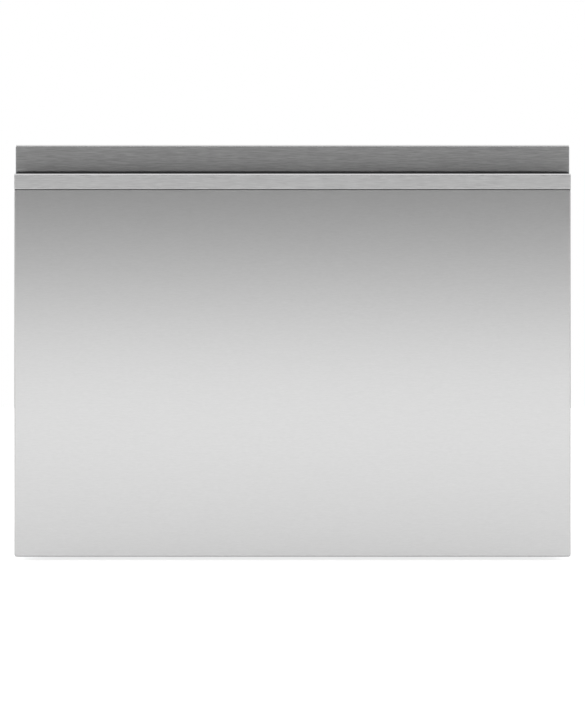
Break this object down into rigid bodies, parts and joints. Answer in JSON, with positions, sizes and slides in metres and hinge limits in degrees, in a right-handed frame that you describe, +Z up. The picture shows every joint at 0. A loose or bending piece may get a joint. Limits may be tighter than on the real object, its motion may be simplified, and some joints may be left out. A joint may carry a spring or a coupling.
{
  "type": "dishwasher drawer",
  "caption": "Built-in dishwasher drawer: steel front with a pull lip under a recessed band, sliding tub with folding racks, spray arm and dispenser, and a lid that the chassis lowers.",
  "frame": {"origin": "on the ground under the middle of the closed drawer's overall box", "axes": "+X to the right as seen from the front, +Y to the rear, +Z up; the front faces -Y"},
  "size_m": [0.599, 0.573, 0.4459],
  "materials": {
    "brushed_steel_skin": "stainless sheet, horizontally brushed",
    "brushed_steel_lip": "stainless extrusion cover, horizontally brushed",
    "brushed_steel_fascia": "stainless sheet, horizontally brushed, a shade darker",
    "galvanised_sheet": "zinc-coated sheet steel",
    "zinc_runner": "bright zinc-plated rolled steel",
    "black_plastic": "fine matt moulding",
    "dark_plastic": "glass-filled polypropylene",
    "grey_plastic": "polypropylene moulding",
    "tub_plastic": "polypropylene moulding, satin",
    "coated_wire": "steel wire, polyamide coated",
    "seal_rubber": "soft thermoplastic seal",
    "hose_rubber": "flexible hose",
    "element_steel": "plain stainless steel"
  },
  "bodies": {
    "chassis": {"side_panel_left": "galvanised_sheet", "side_panel_right": "galvanised_sheet", "top_panel": "galvanised_sheet", "base_tray": "galvanised_sheet", "rear_panel": "galvanised_sheet", "foot_front_left": "black_plastic", "foot_front_right": "black_plastic", "foot_rear_left": "black_plastic", "foot_rear_right": "black_plastic", "water_inlet_valve": "grey_plastic", "drain_outlet": "dark_plastic", "power_inlet": "black_plastic", "outer_runner_left": "zinc_runner", "outer_runner_right": "zinc_runner", "lid_actuator_left": "dark_plastic", "lid_actuator_right": "dark_plastic"},
    "drawer": {"front_skin": "brushed_steel_skin", "handle_lip": "brushed_steel_lip", "recess_fascia": "brushed_steel_fascia", "recess_channel": "black_plastic", "front_backing": "dark_plastic", "control_panel": "black_plastic", "inner_runner_left": "zinc_runner", "inner_runner_right": "zinc_runner", "tub": "tub_plastic", "sump_housing": "dark_plastic", "wash_motor": "element_steel", "heater_element": "element_steel", "filter_plate": "grey_plastic", "controller_box": "black_plastic", "dispenser_body": "grey_plastic", "rack_floor": "coated_wire", "rack_side_left": "coated_wire", "rack_side_right": "coated_wire", "rack_front": "coated_wire", "rack_rear": "coated_wire", "cutlery_basket": "grey_plastic", "basket_handle": "grey_plastic", "drain_hose": "hose_rubber", "fill_hose": "hose_rubber", "wiring_loom": "black_plastic"},
    "middle_runners": {"middle_runner_left": "zinc_runner", "middle_runner_right": "zinc_runner"},
    "lid": {"lid": "tub_plastic", "lid_seal": "seal_rubber"},
    "spray_arm": {"spray_arm": "grey_plastic"},
    "wash_rotor": {"wash_rotor": "grey_plastic"},
    "drain_filter": {"drain_filter": "dark_plastic"},
    "detergent_door": {"detergent_door": "tub_plastic"},
    "rinse_aid_cap": {"rinse_aid_cap": "dark_plastic"},
    "power_button": {"power_button": "grey_plastic"},
    "program_button": {"program_button": "grey_plastic"},
    "delay_button": {"delay_button": "grey_plastic"},
    "start_button": {"start_button": "grey_plastic"},
    "tine_row_1": {"tine_row_1": "coated_wire"},
    "tine_row_2": {"tine_row_2": "coated_wire"},
    "tine_row_3": {"tine_row_3": "coated_wire"},
    "tine_row_4": {"tine_row_4": "coated_wire"},
    "cup_shelf_left": {"cup_shelf_left": "coated_wire"},
    "cup_shelf_right": {"cup_shelf_right": "coated_wire"}
  },
  "joints": [
    {"name": "drawer_slide", "type": "slide", "parent": "chassis", "child": "drawer", "axis": [0, -1, 0], "range_m": [0, 0.5], "deforming": ["drain_hose", "fill_hose", "wiring_loom"]},
    {"name": "middle_runner_slide", "type": "slide", "parent": "chassis", "child": "middle_runners", "axis": [0, -1, 0], "range_m": [0, 0.25]},
    {"name": "lid_lift", "type": "slide", "parent": "chassis", "child": "lid", "axis": [0, 0, -1], "range_m": [0, 0.01]},
    {"name": "spray_arm_spin", "type": "hinge", "parent": "drawer", "child": "spray_arm", "pos_m": [0, -0.0077, 0.08], "axis": [0, 0, 1], "continuous": true},
    {"name": "wash_rotor_spin", "type": "hinge", "parent": "drawer", "child": "wash_rotor", "pos_m": [0, -0.0077, 0.04], "axis": [0, 0, 1], "continuous": true},
    {"name": "drain_filter_turn", "type": "hinge", "parent": "drawer", "child": "drain_filter", "pos_m": [0.055, -0.0377, 0.06], "axis": [0, 0, 1], "range_deg": [0, 90]},
    {"name": "detergent_door_hinge", "type": "hinge", "parent": "drawer", "child": "detergent_door", "pos_m": [-0.065, -0.224, 0.336], "axis": [0, 0, 1], "range_deg": [0, 100]},
    {"name": "rinse_aid_cap_turn", "type": "hinge", "parent": "drawer", "child": "rinse_aid_cap", "pos_m": [0.034, -0.2275, 0.336], "axis": [0, 1, 0], "range_deg": [0, 90]},
    {"name": "power_button_press", "type": "slide", "parent": "drawer", "child": "power_button", "axis": [0, 0, -1], "range_m": [0, 0.0008], "stiffness_N_per_m": 900, "springref_m": -0.0006},
    {"name": "program_button_press", "type": "slide", "parent": "drawer", "child": "program_button", "axis": [0, 0, -1], "range_m": [0, 0.0008], "stiffness_N_per_m": 900, "springref_m": -0.0006},
    {"name": "delay_button_press", "type": "slide", "parent": "drawer", "child": "delay_button", "axis": [0, 0, -1], "range_m": [0, 0.0008], "stiffness_N_per_m": 900, "springref_m": -0.0006},
    {"name": "start_button_press", "type": "slide", "parent": "drawer", "child": "start_button", "axis": [0, 0, -1], "range_m": [0, 0.0008], "stiffness_N_per_m": 900, "springref_m": -0.0006},
    {"name": "tine_row_1_fold", "type": "hinge", "parent": "drawer", "child": "tine_row_1", "pos_m": [-0.201, -0.0077, 0.1043], "axis": [0, 1, 0], "range_deg": [0, 84]},
    {"name": "tine_row_2_fold", "type": "hinge", "parent": "drawer", "child": "tine_row_2", "pos_m": [-0.104, -0.0077, 0.1043], "axis": [0, 1, 0], "range_deg": [0, 84]},
    {"name": "tine_row_3_fold", "type": "hinge", "parent": "drawer", "child": "tine_row_3", "pos_m": [-0.007, -0.0077, 0.1043], "axis": [0, 1, 0], "range_deg": [0, 84]},
    {"name": "tine_row_4_fold", "type": "hinge", "parent": "drawer", "child": "tine_row_4", "pos_m": [0.09, -0.0077, 0.1043], "axis": [0, 1, 0], "range_deg": [0, 84]},
    {"name": "cup_shelf_left_fold", "type": "hinge", "parent": "drawer", "child": "cup_shelf_left", "pos_m": [-0.2307, -0.0077, 0.285], "axis": [0, -1, 0], "range_deg": [0, 98]},
    {"name": "cup_shelf_right_fold", "type": "hinge", "parent": "drawer", "child": "cup_shelf_right", "pos_m": [0.2307, -0.0077, 0.285], "axis": [0, 1, 0], "range_deg": [0, 98]}
  ],
  "couplings": [
    {"joint": "middle_runner_slide", "follows": "drawer_slide", "ratio": 0.5}
  ]
}
